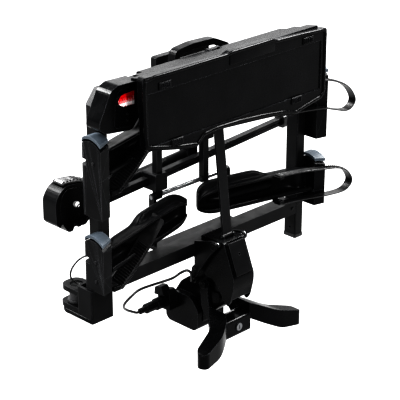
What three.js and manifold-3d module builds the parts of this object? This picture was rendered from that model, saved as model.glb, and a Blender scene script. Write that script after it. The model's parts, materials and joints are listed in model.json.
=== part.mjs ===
// Folding platform bike rack for a tow ball, in its folded, upright carrying pose.
// Millimetres, +Z up. The origin is the centre of the tow ball that the coupling sits on;
// +Y points at the car, -Y at the person behind it, and X runs across the rack.
import * as THREE from 'three';
import { mergeVertices } from 'three/addons/utils/BufferGeometryUtils.js';
import Module from 'manifold-3d';

const wasm = await Module();
wasm.setup();

// ---------------------------------------------------------------- driving dimensions
const GAP = 0.3;                       // between pieces that touch
const BALL_R = 25;                     // 50 mm tow ball

const FOLD = { y: -118, z: 211 };      // platform fold axis
const LIGHT = { y: -70.4, z: 622 };    // light unit axis, on the platform
const LINK = { y: 5, z: 12 };          // offset of the stay's pivots from those two axes
const STAY_LOW = { y: FOLD.y + LINK.y, z: FOLD.z + LINK.z };
const STAY_TOP = { y: LIGHT.y + LINK.y, z: LIGHT.z + LINK.z };
const LEVER = { y: -78, z: 104 };      // coupling lever axis

const POST = { inner: 290, outer: 316, front: -57, back: -22, low: 188, top: 612 };
const BEAM = { z0: 168, z1: 199, back: -17 };
const RAIL = { z0: 586, z1: 611 };
const LIGHT_PIN = 3;                   // radius of the light unit's hinge pins
const EAR_X = 232;                     // where the rail's ears hold them
const KNUCKLE_X = 222;                 // where the light bar's knuckles hold them

const TRAY = {                         // the left lower tray; the others are copies of it
  outer: 345, leftTip: 17, rightTip: 17, front: -97, slope: 0.25, depth: 46,
  low: 226, high: 288, wall: 4, hingeX: 331, hingeY: -46, hingeR: 14, blockHigh: 306, humpHigh: 306, humpEnd: 208,
};
const TRAY_RISE = 216;                 // from the lower pair to the upper pair

const MAST = { y: 30, z: 296, x: 72, width: 16, depth: 15, top: 618 };
const ARM_RISE = 0.0643;               // the bike arms climb this much per mm to the right
const ARM_A = { y: 49, z: 335 };       // the long arm's centre line at x = 0
const ARM_B = { y: 80, z: 340 };       // the short arm's, behind it
const PLATE = { y: -142.5, half: 260, z0: 504.2, z1: 615.8, back: -129 };

// ---------------------------------------------------------------- materials
const finish = (color, roughness, metalness = 0) =>
  new THREE.MeshStandardMaterial({ color, roughness, metalness });
const plastic = finish(0x1b1c1e, 0.55);
const glossy = finish(0x121315, 0.3);
const coated = finish(0x2a2b2d, 0.6, 0.3);
const buckleGrey = finish(0x6f7982, 0.45);
const rubber = finish(0x141414, 0.85);
const steel = finish(0x9a9ea2, 0.35, 0.9);
const redLens = finish(0xc01018, 0.15);
const rollerGrey = finish(0xb4b6b8, 0.5);

// ---------------------------------------------------------------- solids
function solid(geometry) {
  geometry.deleteAttribute('normal');
  geometry.deleteAttribute('uv');
  const merged = mergeVertices(geometry, 1e-4);
  return new wasm.Manifold(new wasm.Mesh({
    numProp: 3,
    vertProperties: Float32Array.from(merged.attributes.position.array),
    triVerts: Uint32Array.from(merged.index.array),
  }));
}

function join(first, ...others) {
  return others.reduce((sum, item) => sum.add(item), first);
}

function cut(first, ...others) {
  return others.reduce((rest, item) => rest.subtract(item), first);
}

function box(x0, x1, y0, y1, z0, z1) {
  const geometry = new THREE.BoxGeometry(x1 - x0, y1 - y0, z1 - z0);
  geometry.translate((x0 + x1) / 2, (y0 + y1) / 2, (z0 + z1) / 2);
  return solid(geometry);
}

// A closed outline. Each point is [a, b] or [a, b, corner radius].
function outline(points) {
  const shape = new THREE.Shape();
  const count = points.length;
  points.forEach(([a, b, radius = 0], i) => {
    const corner = new THREE.Vector2(a, b);
    if (radius === 0) {
      if (i === 0) shape.moveTo(a, b);
      else shape.lineTo(a, b);
      return;
    }
    const before = points[(i + count - 1) % count];
    const after = points[(i + 1) % count];
    const toBefore = new THREE.Vector2(before[0] - a, before[1] - b);
    const toAfter = new THREE.Vector2(after[0] - a, after[1] - b);
    const reach = Math.min(radius, 0.45 * toBefore.length(), 0.45 * toAfter.length());
    const start = corner.clone().addScaledVector(toBefore.normalize(), reach);
    const end = corner.clone().addScaledVector(toAfter.normalize(), reach);
    if (i === 0) shape.moveTo(start.x, start.y);
    else shape.lineTo(start.x, start.y);
    shape.quadraticCurveTo(a, b, end.x, end.y);
  });
  return shape;
}

const PLANES = {
  // plane of the outline: direction of a, of b, and of the extrusion
  yz: [new THREE.Vector3(0, 1, 0), new THREE.Vector3(0, 0, 1), new THREE.Vector3(1, 0, 0)],
  zx: [new THREE.Vector3(0, 0, 1), new THREE.Vector3(1, 0, 0), new THREE.Vector3(0, 1, 0)],
  xy: [new THREE.Vector3(1, 0, 0), new THREE.Vector3(0, 1, 0), new THREE.Vector3(0, 0, 1)],
};

function prism(plane, points, from, to, arcSteps = 4) {
  const shape = points instanceof THREE.Shape ? points : outline(points);
  const geometry = new THREE.ExtrudeGeometry(shape, {
    depth: to - from, bevelEnabled: false, curveSegments: arcSteps, steps: 1,
  });
  geometry.translate(0, 0, from);
  geometry.applyMatrix4(new THREE.Matrix4().makeBasis(...PLANES[plane]));
  return solid(geometry);
}

function rod(axis, centre, radius, from, to, sides = 20) {
  const geometry = new THREE.CylinderGeometry(radius, radius, to - from, sides);
  geometry.translate(0, (from + to) / 2, 0);
  if (axis === 'x') geometry.rotateZ(-Math.PI / 2);
  if (axis === 'z') geometry.rotateX(Math.PI / 2);
  const [a, b] = centre;
  const place = { x: [0, a, b], y: [a, 0, b], z: [a, b, 0] }[axis];
  geometry.translate(...place);
  return solid(geometry);
}

function sweep(points, section, steps, tension = 0.5) {
  const vectors = points.map((p) => new THREE.Vector3(...p));
  const path = new THREE.CatmullRomCurve3(vectors, false, 'centripetal', tension);
  return solid(new THREE.ExtrudeGeometry(section, { steps, extrudePath: path }));
}

function circle(radius, sides) {
  const shape = new THREE.Shape();
  for (let i = 0; i < sides; i += 1) {
    const angle = (2 * Math.PI * i) / sides;
    const point = [radius * Math.cos(angle), radius * Math.sin(angle)];
    if (i === 0) shape.moveTo(...point);
    else shape.lineTo(...point);
  }
  return shape;
}

const mirrorX = (item) => item.scale([-1, 1, 1]);
const lift = (item, rise) => item.translate([0, 0, rise]);

const rack = new THREE.Group();

function add(name, item, material) {
  const mesh = item.getMesh();
  const geometry = new THREE.BufferGeometry();
  geometry.setAttribute('position', new THREE.BufferAttribute(mesh.vertProperties, 3));
  geometry.setIndex(new THREE.BufferAttribute(mesh.triVerts, 1));
  geometry.computeVertexNormals();
  const node = new THREE.Mesh(geometry, material);
  node.name = name;
  rack.add(node);
}

// ---------------------------------------------------------------- coupling on the ball
const ARM_HALF = 26;                   // half width of the coupling's arm
const CUP_HALF = 42;

function couplingBody() {
  const arm = prism('yz', [
    [34, -2, 4], [34, 34, 6], [4, 82, 8], [-62, 132, 12], [-78, 172, 6], [-118, 178, 6],
    [-134, 158, 10], [-122, 92, 8], [-90, 48, 8], [-66, 30],
    [-66, 0, 6], [-40, 0],
  ], -ARM_HALF, ARM_HALF);
  const cup = prism('yz', [
    [38, -10, 6], [36, 34, 10], [12, 60, 12], [-42, 60, 12], [-64, 34, 8], [-64, -12, 8],
    [-52, -20, 4], [28, -20, 6],
  ], -CUP_HALF, CUP_HALF);
  const socket = solid(new THREE.SphereGeometry(BALL_R + 0.4, 28, 18));
  const throat = rod('z', [0, 0], BALL_R + 0.4, -30, 0, 28);
  const shoeSlot = box(-12.5, 12.5, -48, -10, -10.5, 12.5);
  const pinHole = rod('x', [LEVER.y, LEVER.z], 6.3, -50, 50);
  const plugScrew = rod('x', [18, 44], 4, -CUP_HALF - 1, -CUP_HALF + 8, 12);
  return cut(join(arm, cup), socket, throat, shoeSlot, pinHole, plugScrew);
}

// Slides in the socket's back wall and grips the ball below its middle.
function clampShoe() {
  const block = box(-12, 12, -40, -21, -10, 12);
  const ball = solid(new THREE.SphereGeometry(BALL_R + GAP, 28, 18));
  return cut(block, ball);
}

// ---------------------------------------------------------------- housing at the fold axis
const CHEEK = { inner: 27, outer: 32 };

function housing() {
  const side = [
    [-66, 219, 4], [-134, 219, 4], [-165, 141, 5], [-165, 122, 12], [-156, 84, 8],
    [-148, 71, 4], [-136, 80, 4], [-110, 120, 16], [-66, 128, 6],
  ];
  const shell = prism('yz', side, -CHEEK.outer, CHEEK.outer);
  const hollow = prism('yz', [
    [-40, 214], [-131, 214, 3], [-157, 146], [-157, 60], [-40, 60],
  ], -CHEEK.inner, CHEEK.inner);
  const pedalSeat = prism('yz', [
    [-133, 214.2], [-160, 146], [-175, 146], [-150, 225], [-133, 225],
  ], -25, 25);
  const stayLug = (x) => prism('yz', [
    [STAY_LOW.y - 9, 218], [STAY_LOW.y - 5, STAY_LOW.z + 4.5, 4],
    [STAY_LOW.y + 5, STAY_LOW.z + 4.5, 4], [STAY_LOW.y + 9, 218],
  ], x - 1.5, x + 1.5);
  const stayHole = rod('x', [STAY_LOW.y, STAY_LOW.z], 2.8, -30, 30, 12);
  const stayGap = rod('x', [STAY_LOW.y, STAY_LOW.z], 5.6, -13.5, 13.5, 16);
  const foldHole = rod('x', [FOLD.y, FOLD.z], 6.3, -50, 50);
  const leverHole = rod('x', [LEVER.y, LEVER.z], 6.3, -50, 50);
  const back = rod('x', [-62, 128], 14, -50, 50, 24);
  const body = cut(shell, hollow, pedalSeat, foldHole, leverHole, back, stayGap);
  return cut(join(body, stayLug(-15.2), stayLug(15.2)), stayHole);
}

function pin(centre, radius, half) {
  const head = rod('x', [centre.y, centre.z], radius + 3, half, half + 2.5);
  return join(rod('x', [centre.y, centre.z], radius, -half - 2.5, half + 1), head);
}

function releasePedal() {
  const panel = prism('yz', [
    [-138.2, 217], [-134.6, 213.4, 1], [-160.6, 146.4, 1], [-166.4, 146.4, 2],
    [-166.8, 149, 1], [-141, 217, 1],
  ], -24, 24);
  const sight = rod('y', [0, 190], 2.6, -170, -138, 12);
  return cut(panel, sight);
}

// ---------------------------------------------------------------- coupling lever
const FORK = { inner: 33, outer: 38 };

function leverFork() {
  const profile = [
    [LEVER.y + 11, LEVER.z + 4, 6], [LEVER.y - 4, LEVER.z + 12, 6],
    [LEVER.y - 13, LEVER.z, 6], [-94, 60, 8], [-118, 33, 4], [-151, 33, 6],
    [-152, -10, 8], [-118, -12, 6], [-108, 4, 6], [-72, 44, 12],
  ];
  const plates = prism('yz', profile, -FORK.outer, FORK.outer);
  const between = prism('yz', [
    [-50, 130], [-116, 130], [-116, -30], [-50, -30],
  ], -FORK.inner, FORK.inner);
  const pinHole = rod('x', [LEVER.y, LEVER.z], 6.3, -50, 50);
  const lockHole = rod('y', [0, 12], 9.3, -160, -128, 20);
  return cut(plates, between, pinHole, lockHole);
}

// One grip, to the right: a flat-sided arm that leaves the fork, bends out and ends in a paddle.
function leverGrip() {
  const plan = [
    [38.3, -94], [56, -112, 10], [84, -146, 14], [148, -168, 10], [160, -184, 8],
    [150, -202, 10], [92, -190, 16], [58, -170, 14], [38.3, -148],
  ];
  const blank = prism('xy', plan, -80, 80, 5);
  const slope = prism('zx', [
    [56, 38], [50, 56, 10], [34, 88, 14], [14, 158, 8], [-20, 162, 8], [-14, 100, 12],
    [4, 64, 10], [18, 38],
  ], -230, -60, 5);
  return blank.intersect(slope);
}

function lockCylinder() {
  const barrel = rod('y', [0, 12], 9, -154, -129, 20);
  const keyway = box(-1, 1, -160, -147, 7, 17);
  return cut(barrel, keyway);
}

// ---------------------------------------------------------------- stay, the fold's link bar
const STAY = { half: 13, thick: 5, eye: 5, pin: 2.5 };

function stayBar() {
  const dy = STAY_TOP.y - STAY_LOW.y;
  const dz = STAY_TOP.z - STAY_LOW.z;
  const length = Math.hypot(dy, dz);
  const along = (t, side) => [
    STAY_LOW.y + (dy * t - dz * side) / length,
    STAY_LOW.z + (dz * t + dy * side) / length,
  ];
  const bar = prism('yz', [
    along(0, -STAY.thick / 2), along(length, -STAY.thick / 2),
    along(length, STAY.thick / 2), along(0, STAY.thick / 2),
  ], -STAY.half, STAY.half);
  const ends = [STAY_LOW, STAY_TOP];
  const eyes = ends.map((at) => rod('x', [at.y, at.z], STAY.eye, -STAY.half, STAY.half, 16));
  const holes = ends.map((at) => rod('x', [at.y, at.z], STAY.pin + GAP, -14, 14, 12));
  return cut(join(bar, ...eyes), ...holes);
}

const stayPin = (at) => rod('x', [at.y, at.z], STAY.pin, -17.5, 17.5, 12);

// ---------------------------------------------------------------- platform
function post() {
  const tube = prism('xy', [
    [POST.inner, POST.front, 3], [POST.outer, POST.front, 3],
    [POST.outer, POST.back, 3], [POST.inner, POST.back, 3],
  ], POST.low, POST.top, 2);
  const ears = [0, TRAY_RISE].map((rise) => {
    const ear = box(POST.outer - 1, TRAY.hingeX + 5, TRAY.hingeY - 5, TRAY.hingeY + 5,
      250 + rise, 262 + rise);
    const hingePin = rod('z', [TRAY.hingeX, TRAY.hingeY], 4, 214 + rise, 292 + rise, 16);
    return join(ear, hingePin);
  });
  const slantedTop = prism('zx', [
    [POST.top - 33, POST.outer + 1], [POST.top + 3, POST.outer + 1],
    [POST.top + 3, POST.inner + 1], [POST.top, POST.inner + 1],
  ], -80, 0);
  return cut(join(tube, ...ears), slantedTop);
}

function crossBeam() {
  const reach = POST.inner - GAP;
  const tube = box(-reach, reach, POST.front, BEAM.back, BEAM.z0, BEAM.z1);
  const bore = box(-400, 400, POST.front + 2.5, BEAM.back - 2.5, BEAM.z0 + 2.5, BEAM.z1 - 2.5);
  return cut(tube, bore);
}

function topRail() {
  const reach = POST.inner - GAP;
  const tube = box(-reach, reach, POST.front + 4, POST.back, RAIL.z0, RAIL.z1);
  const ear = (x) => {
    const plate = prism('yz', [
      [POST.front + 5, RAIL.z0], [POST.front + 5, RAIL.z1 - 3], [LIGHT.y + 3, LIGHT.z + 5, 4],
      [LIGHT.y - 5, LIGHT.z + 5, 4], [LIGHT.y - 5, LIGHT.z - 4, 3],
    ], x - 4, x + 4);
    return cut(plate, rod('x', [LIGHT.y, LIGHT.z], LIGHT_PIN + GAP, x - 6, x + 6, 16));
  };
  return join(tube, ear(-EAR_X), ear(EAR_X));
}

// One of the two plates that carry the beam on the fold pin.
function hingeCheek() {
  const plate = prism('yz', [
    [FOLD.y - 9, FOLD.z - 2, 5], [FOLD.y - 6, FOLD.z + 9, 5], [FOLD.y + 10, FOLD.z + 9, 5],
    [-57.3, 205, 2], [-57.3, 148], [-49, 140, 5], [-47, 122, 4], [-60, 116, 4],
    [-74, 140, 12], [-104, 184, 14],
  ], 40, 45);
  return cut(plate, rod('x', [FOLD.y, FOLD.z], 6.3, 30, 50));
}

function footLeft() {
  const block = prism('xy', [
    [-349, -62, 4], [-POST.inner, -62, 2], [-POST.inner, -14, 2], [-349, -14, 6],
  ], 112, POST.low - GAP, 3);
  const tongue = (z0, z1, grow) => prism('xy', [
    [-348, -20], [-348 - grow, 44 + grow, 24], [-298 + grow, 44 + grow, 24], [-298, -20],
  ], z0, z1, 6);
  const upper = cut(tongue(162, 173, 0), rod('z', [-323, 16], 15, 168, 180, 20));
  const lower = tongue(124, 134, 2);
  const axle = rod('z', [-323, 16], 5, 130, 166, 16);
  return cut(join(block, upper, lower, axle), box(-343, -320, -54, -20, 180, 195));
}

function transportRoller() {
  const flange = (z) => rod('z', [-323, 16], 20, z, z + 4, 28);
  const core = rod('z', [-323, 16], 16, 135, 161, 28);
  return cut(join(core, flange(134.5), flange(157.5)), rod('z', [-323, 16], 5.4, 120, 170, 16));
}

function footRight() {
  const tube = prism('xy', [
    [POST.inner, POST.front, 3], [POST.outer, POST.front, 3],
    [POST.outer, POST.back, 3], [POST.inner, POST.back, 3],
  ], 112, POST.low - GAP, 2);
  const dowel = rod('x', [-40, 128], 3, POST.inner - 5, POST.inner + 4, 12);
  return cut(tube, dowel);
}

function footCap() {
  return prism('xy', [
    [POST.inner - 1, POST.front - 1, 3], [POST.outer + 1, POST.front - 1, 3],
    [POST.outer + 1, POST.back + 1, 3], [POST.inner - 1, POST.back + 1, 3],
  ], 104, 112 - GAP, 2);
}

function carryHandle() {
  const z0 = RAIL.z1 + GAP;
  const loop = prism('zx', [
    [z0, -84, 3], [642, -80, 14], [648, -30, 10], [646, 36, 10], [626, 80, 12], [z0, 84, 3],
  ], -38, -18, 5);
  const grip = prism('zx', [
    [z0 + 5, -68, 8], [630, -66, 10], [634, -30, 8], [632, 34, 8], [617, 66, 6],
    [z0 + 5, 68, 5],
  ], -45, -10, 5);
  return cut(loop, grip);
}

// Carries the mast's pivot shaft off the back of the beam, below and behind the lower trays.
function mastBracket() {
  const base = box(-92, 152, BEAM.back + GAP, 38, 172, 180);
  const upright = (x0, x1) => cut(
    prism('yz', [
      [22, 174], [38, 174], [38, MAST.z + 4, 5], [30, MAST.z + 10, 6], [22, MAST.z + 4, 5],
    ], x0, x1),
    rod('x', [MAST.y, MAST.z], 5.4, x0 - 2, x1 + 2, 16),
  );
  return join(base, upright(-91, -83), upright(136, 150));
}

function mastShaft() {
  return rod('x', [MAST.y, MAST.z], 5, -92, 151, 16);
}

// ---------------------------------------------------------------- wheel trays
const frontAt = (x) => TRAY.front + TRAY.slope * (TRAY.outer - Math.abs(x));

// Plan of the left tray, with the front edge moved back by inset and the rest moved in.
function trayPlan(inset, tip) {
  const back = (x) => frontAt(x) + TRAY.depth - inset;
  const inX = POST.inner - 6;
  return [
    [-TRAY.outer + inset, TRAY.front + inset * 0.5], [-tip - 26, frontAt(tip + 26), 10],
    [-tip - inset, frontAt(tip) + 14, 10], [-tip - 2.5 - inset, 8, 8],
    [-tip - 10 - inset, back(tip + 10), 8],
    [-inX, back(inX)], [-inX - 0.1, POST.front - 0.6], [-TRAY.outer + inset, POST.front - 0.6],
  ];
}

// Plan of an end block: square in front, round about the hinge pin behind.
function blockPlan(front) {
  const r = TRAY.hingeR;
  const shape = new THREE.Shape();
  shape.moveTo(-TRAY.hingeX + r, TRAY.hingeY);
  shape.absarc(-TRAY.hingeX, TRAY.hingeY, r, 0, Math.PI, false);
  shape.lineTo(-TRAY.outer, front);
  shape.lineTo(-TRAY.hingeX + r, front + TRAY.slope * 2 * r);
  shape.closePath();
  return shape;
}

function tray(tip, blockLow) {
  const shell = prism('xy', trayPlan(0, tip), TRAY.low, TRAY.high, 4);
  const t = TRAY.wall;
  const trough = prism('xy', [
    [-POST.outer, TRAY.front - 30], [-tip - 4, frontAt(tip) - 30],
    [-tip - 8, frontAt(tip) + 12, 12], [-tip - 14, frontAt(tip) + TRAY.depth - 10, 14],
    [-POST.inner + 10, frontAt(POST.inner - 10) + TRAY.depth - 6, 6],
    [-POST.inner - 10, POST.front - 5, 4], [-POST.outer, POST.front - 5],
  ], TRAY.low + t, TRAY.high - t, 5);
  const humpPlan = (inset) => [
    [-TRAY.humpEnd + inset, frontAt(TRAY.humpEnd) + 16 + inset, 4],
    [-tip - 40 - inset, frontAt(tip + 40) + 16 + inset, 10], [-tip - 5 - inset, 8, 12],
    [-tip - 8 - inset, 19.5 - inset, 6], [-tip - 62, 19.5 - inset, 4],
    [-TRAY.humpEnd + 8 + inset, frontAt(TRAY.humpEnd - 8) + TRAY.depth - inset, 8],
  ];
  const hump = prism('xy', humpPlan(0), TRAY.high - 20, TRAY.humpHigh, 5);
  const humpInside = prism('xy', humpPlan(t), TRAY.high - 30, TRAY.humpHigh - t, 5);
  const block = prism('xy', blockPlan(TRAY.front), blockLow, TRAY.blockHigh, 8);
  const arch = prism('yz', [
    [-120, 320], [-120, 284], [-97, 288], [-84, 300, 8], [-66, 305, 8], [-46, 301, 8],
    [-38, 292], [-20, 292], [-20, 320],
  ], -TRAY.outer - 1, -POST.outer + 1);
  const earSlot = box(-TRAY.outer - 2, -POST.outer + 1, TRAY.hingeY - 8, 0, 249, 263);
  const pinHole = rod('z', [-TRAY.hingeX, TRAY.hingeY], 4.4, 100, 293, 16);
  const body = cut(join(shell, hump), trough, humpInside);
  return cut(join(body, cut(block, arch)), earSlot, pinHole);
}

// Ribbed release cap over the end block. Its front presses down.
function buckle() {
  const cap = prism('yz', [
    [-34, 298, 2], [-46, 311, 6], [-66, 316, 8], [-86, 310, 8], [-104, 297, 4], [-106, 291, 2],
    [-103, 290, 2], [-86, 304, 8], [-66, 309.6, 8], [-46, 305.4, 6], [-37, 295, 2],
  ], -400, -300, 4);
  return cap.intersect(prism('xy', blockPlan(TRAY.front + 1), 280, 330, 8));
}

// ---------------------------------------------------------------- wheel straps
const STRAP = { width: 30, thick: 3 };

// Lays a piece drawn about y = 0 along the front plane of a tray on the given side.
function alongTray(item, side) {
  const offset = TRAY.front + TRAY.slope * TRAY.outer;
  return item.transform([
    1, -TRAY.slope * side, 0, 0,
    0, 1, 0, 0,
    0, 0, 1, 0,
    0, offset, 0, 1,
  ]);
}

// Left side: from the tray's upper rim, slanting down and out below the end block.
function slantStrap() {
  const top = { x: -138, z: 287 };
  const foot = { x: -300, z: 194 };
  const length = Math.hypot(foot.x - top.x, foot.z - top.z);
  const nx = (-(foot.z - top.z) / length) * (STRAP.width / 2);
  const nz = ((foot.x - top.x) / length) * (STRAP.width / 2);
  const ribbon = prism('zx', [
    [top.z - nz, top.x - nx], [top.z + nz, top.x + nx],
    [foot.z + nz, foot.x + nx, 6], [foot.z - nz, foot.x - nx, 6],
  ], -STRAP.thick - 1, -1);
  return alongTray(ribbon, -1);
}

// Right side: off the upper anchor, round beyond the tray's end and back to the lower anchor.
function loopStrap(sag) {
  const route = [
    [206, 291.8], [262, 290.5], [318, 285.5], [358, 281 - sag * 0.4], [386, 270 - sag * 0.8],
    [402, 246 - sag], [396, 228 - sag], [378, 219 - sag * 0.9], [342, 217.5 - sag * 0.3],
    [318, 218.5], [262, 221.5], [206, 222.2],
  ];
  const points = route.map(([x, z]) => new THREE.Vector3(z, x, 0));
  const curve = new THREE.CatmullRomCurve3(points, false, 'centripetal');
  const steps = 30;
  const outer = [];
  const inner = [];
  for (let i = 0; i <= steps; i += 1) {
    const at = curve.getPointAt(i / steps);
    const dir = curve.getTangentAt(i / steps);
    outer.push([at.x + (dir.y * STRAP.thick) / 2, at.y - (dir.x * STRAP.thick) / 2]);
    inner.unshift([at.x - (dir.y * STRAP.thick) / 2, at.y + (dir.x * STRAP.thick) / 2]);
  }
  return alongTray(prism('zx', [...outer, ...inner], -21, -1), 1);
}

// Lugs on the right tray's front that the strap's two ends are fixed to.
function strapAnchors() {
  return join(
    alongTray(box(204, 218, -20, 3, 284, 290), 1),
    alongTray(box(204, 218, -20, 3, 224, 230), 1),
  );
}

// ---------------------------------------------------------------- light unit
function plateHolder() {
  const face = [
    [652, -274, 8], [500, -267, 8], [480, -180, 20], [470, -122, 6], [488, -108, 6],
    [492, -66, 20], [482, 58, 20], [474, 140, 8], [464, 160, 6], [464, 178, 6],
    [480, 258, 8], [490, 277, 6], [641, 277, 8],
    [646, 112], [652, 98, 4], [652, -24, 4], [646, -40],
  ];
  const panel = prism('zx', face, -145, PLATE.back, 4);
  const recess = box(-PLATE.half, PLATE.half, -150, PLATE.y, PLATE.z0, PLATE.z1);
  const roof = prism('yz', [
    [-131, 646], [-131, 640], [-64, 628, 2], [-62, 631, 1], [-64, 635],
  ], -262, 262);
  const hingeNotch = (x) => box(x - 17, x + 13, -82, -50, 600, 640);
  const stayNotch = box(-14, 14, -80, -50, 600, 660);
  const rib = (x) => prism('yz', [
    [-131, 644], [-131, 560], [-110, 575, 10], [-72, 612], [-70, 632],
  ], x - 3, x + 3);
  const stayLug = (x) => prism('yz', [
    [-86, 636], [-86, 612, 4], [STAY_TOP.y - 5, STAY_TOP.z - 6, 4],
    [STAY_TOP.y + 5, STAY_TOP.z - 5, 4], [STAY_TOP.y + 5, STAY_TOP.z + 5, 4],
    [STAY_TOP.y - 4, STAY_TOP.z + 5, 3],
  ], x - 1.6, x + 1.6);
  const stayHole = rod('x', [STAY_TOP.y, STAY_TOP.z], STAY.pin + GAP, -30, 30, 12);
  const lampNotch = (x) => box(x, x + 60, -99.4, -50, 600, 660);
  const top = cut(roof, stayNotch, hingeNotch(-227), hingeNotch(231),
    lampNotch(-299.6), lampNotch(239.6));
  const barSeat = box(-239.7, 239.7, -98 - GAP, -77 + GAP, 564 - GAP, 596 + GAP);
  const ribs = [-190, -110, 110, 190].map(rib);
  return cut(
    join(cut(panel, recess), top, ...ribs, stayLug(-15.6), stayLug(15.6)),
    stayHole, barSeat,
  );
}

// The left lamp: a housing with a recess in its face for the lens. The right one ends sooner.
const RIGHT_LAMP = { x: 298, z: 615 };

function lampHousing() {
  const shell = prism('zx', [
    [631, -240], [633, -296, 6], [624, -316, 8], [566, -346, 6], [553, -347, 4],
    [540, -330, 8], [532, -262, 8], [556, -240],
  ], -99, -59, 4);
  const face = prism('zx', [
    [622, -244], [622, -294, 8], [600, -304, 8], [546, -308, 8], [541, -264, 8],
    [562, -244],
  ], -104, -93, 4);
  const lensSeat = prism('zx', [
    [611, -246], [608, -284, 6], [594, -294, 8], [582, -280, 8], [580, -246],
  ], -100, -76, 4);
  return cut(shell, face, lensSeat);
}

function lampLens() {
  return prism('zx', [
    [610.6, -246.4], [607.6, -283.6, 6], [594, -293.4, 8], [582.4, -279.6, 8],
    [580.4, -246.4],
  ], -91, -76.4, 4);
}

function lightBar() {
  const bar = box(-239.7, 239.7, -98, -77, 564, 596);
  const knuckle = (x) => {
    const plate = prism('yz', [
      [-84, 594], [-78, 580], [LIGHT.y + 4, LIGHT.z - 5, 4], [LIGHT.y + 4, LIGHT.z + 5, 4],
      [LIGHT.y - 5, LIGHT.z + 5, 4], [LIGHT.y - 7, LIGHT.z - 6],
    ], x - 3.5, x + 3.5);
    return cut(plate, rod('x', [LIGHT.y, LIGHT.z], LIGHT_PIN + GAP, x - 6, x + 6, 16));
  };
  return join(bar, knuckle(-KNUCKLE_X), knuckle(KNUCKLE_X));
}

const lightPin = () => rod('x', [LIGHT.y, LIGHT.z], LIGHT_PIN, KNUCKLE_X - 4, EAR_X + 4, 16);

// ---------------------------------------------------------------- mast and bike arms
function mastFrame() {
  const y0 = MAST.y - MAST.depth / 2;
  const y1 = MAST.y + MAST.depth / 2;
  const half = MAST.width / 2;
  const leg = (x) => cut(
    prism('yz', [
      [y0, MAST.z - 9, 7], [y1, MAST.z - 9, 7], [y1, MAST.top - 6], [y0, MAST.top - 6],
    ], x - half, x + half),
    rod('x', [MAST.y, MAST.z], 5.3, x - half - 1, x + half + 1, 16),
  );
  const bridge = prism('zx', [
    [MAST.top - 24, -MAST.x - half], [MAST.top - 4, -MAST.x - half, 8],
    [MAST.top - 4, MAST.x + half, 8], [MAST.top - 24, MAST.x + half],
  ], y0, y1);
  return join(leg(-MAST.x), leg(MAST.x), bridge);
}

// A piece drawn about the x axis, put on an arm's centre line.
function onArm(item, arm) {
  const degrees = (Math.atan(ARM_RISE) * 180) / Math.PI;
  return item.rotate([0, -degrees, 0]).translate([0, arm.y, arm.z]);
}

const grooved = (grow) => [
  [-8 - grow, -9 - grow, 2], [8 + grow, -9 - grow, 2], [8 + grow, -2 + grow],
  [5 + grow, -2 + grow], [5 + grow, 2 - grow], [8 + grow, 2 - grow],
  [8 + grow, 9 + grow, 2], [-8 - grow, 9 + grow, 2], [-8 - grow, 2 - grow],
  [-5 - grow, 2 - grow], [-5 - grow, -2 + grow], [-8 - grow, -2 + grow],
];

function longArm() {
  const bar = prism('yz', grooved(0), -222, 346);
  const spigots = rod('x', [0, 0], 6, -262, 364, 16);
  return onArm(join(bar, spigots), ARM_A);
}

function longArmClamp() {
  const hug = prism('zx', [
    [-20, -90, 5], [20, -90, 5], [20, -54, 5], [-20, -54, 5],
  ], 17, 61).translate([0, 0, ARM_A.z - ARM_RISE * MAST.x]);
  const leg = box(-MAST.x - 8.4, -MAST.x + 8.4, 22.1, 37.9, 200, 500);
  const slot = onArm(prism('yz', [[-8.4, -9.4], [8.4, -9.4], [8.4, 9.4], [-8.4, 9.4]],
    -120, 0), ARM_A);
  return cut(hug, leg, slot);
}

function longArmKnob() {
  const shape = outline([
    [-16, -16, 10], [16, -16, 10], [16, 16, 10], [-16, 16, 10],
  ]);
  const grip = prism('yz', shape, 346.5, 374, 5);
  return onArm(cut(grip, rod('x', [0, 0], 6.3, 340, 366, 16)), ARM_A);
}

// The big claw at the long arm's left end.
const CLAW = { y0: 22, y1: 64 };

function bigClaw() {
  const side = [
    [352, -226, 6], [372, -250, 8], [393, -298, 10], [397, -334, 10], [388, -352, 8],
    [368, -366, 8], [318, -366, 4], [308, -356, 3], [316, -350, 3], [304, -343, 3],
    [292, -333, 4], [292, -322, 3], [306, -316, 3], [298, -304, 4], [296, -288, 4],
    [306, -276, 6], [308, -240], [312, -224.5, 4],
  ];
  const hook = prism('zx', side, CLAW.y0, CLAW.y1, 3);
  const throat = rod('x', [0, 0], 6.5, -60, 60, 18)
    .rotate([0, 24, 45]).translate([-290, 43, 336]);
  const bore = onArm(rod('x', [0, 0], 6.3, -266, -200, 16), ARM_A);
  return cut(hook, bore, throat);
}

// Ridged ratchet strap over the claw's back.
function clawStrap() {
  const spine = [[-254, 374.4], [-298, 393.5], [-334, 397.5], [-344, 396]];
  const band = prism('zx', [
    ...spine.map(([x, z]) => [z + 0.4, x]),
    ...spine.map(([x, z]) => [z + 4, x]).reverse(),
  ], 26, 60);
  const ridge = ([x, z]) => prism('zx', [[z + 3, x + 2.4], [z + 6.4, x], [z + 3, x - 2.4]], 27, 59);
  const ridges = [0.08, 0.24, 0.4, 0.56, 0.72, 0.88].map((t) => ridge([
    spine[0][0] + (spine[1][0] - spine[0][0]) * t,
    spine[0][1] + (spine[1][1] - spine[0][1]) * t,
  ]));
  const flat = [0.08, 0.3, 0.52, 0.74, 0.94].map((t) => ridge([
    spine[1][0] + (spine[2][0] - spine[1][0]) * t,
    spine[1][1] + (spine[2][1] - spine[1][1]) * t,
  ]));
  return join(band, ...ridges, ...flat);
}

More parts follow.
